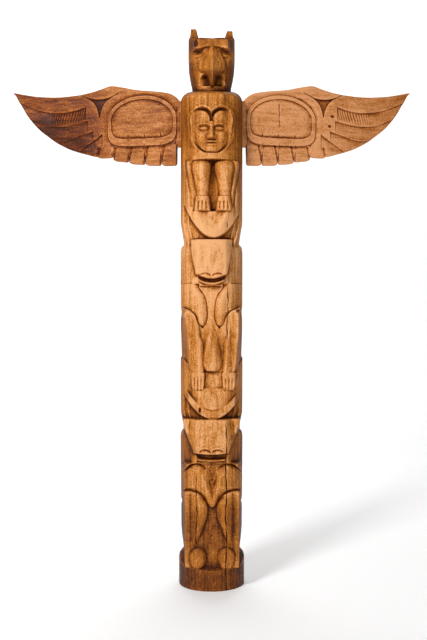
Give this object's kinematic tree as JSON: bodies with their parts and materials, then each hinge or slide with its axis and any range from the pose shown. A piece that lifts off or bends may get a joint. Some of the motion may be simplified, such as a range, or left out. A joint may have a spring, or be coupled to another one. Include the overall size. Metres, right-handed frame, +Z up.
{
  "type": "totem pole",
  "caption": "Carved wooden totem pole on a round base, with a bird's head, a squatting figure, bear-like figures and outspread wings.",
  "frame": {"origin": "middle of the base's flat underside, on the pole's axis", "axes": "+Z up the pole, -Y out of the carved front, +X towards the wing on the viewer's right"},
  "size_m": [1.3536, 0.2685, 1.8],
  "materials": {
    "oiled_cedar_pole": "satin oiled cedar, golden to red-brown",
    "oiled_cedar_wings": "satin oiled cedar, pinkish brown"
  },
  "bodies": {
    "root": {"carved_pole": "oiled_cedar_pole", "left_wing": "oiled_cedar_wings", "right_wing": "oiled_cedar_wings"}
  },
  "joints": []
}
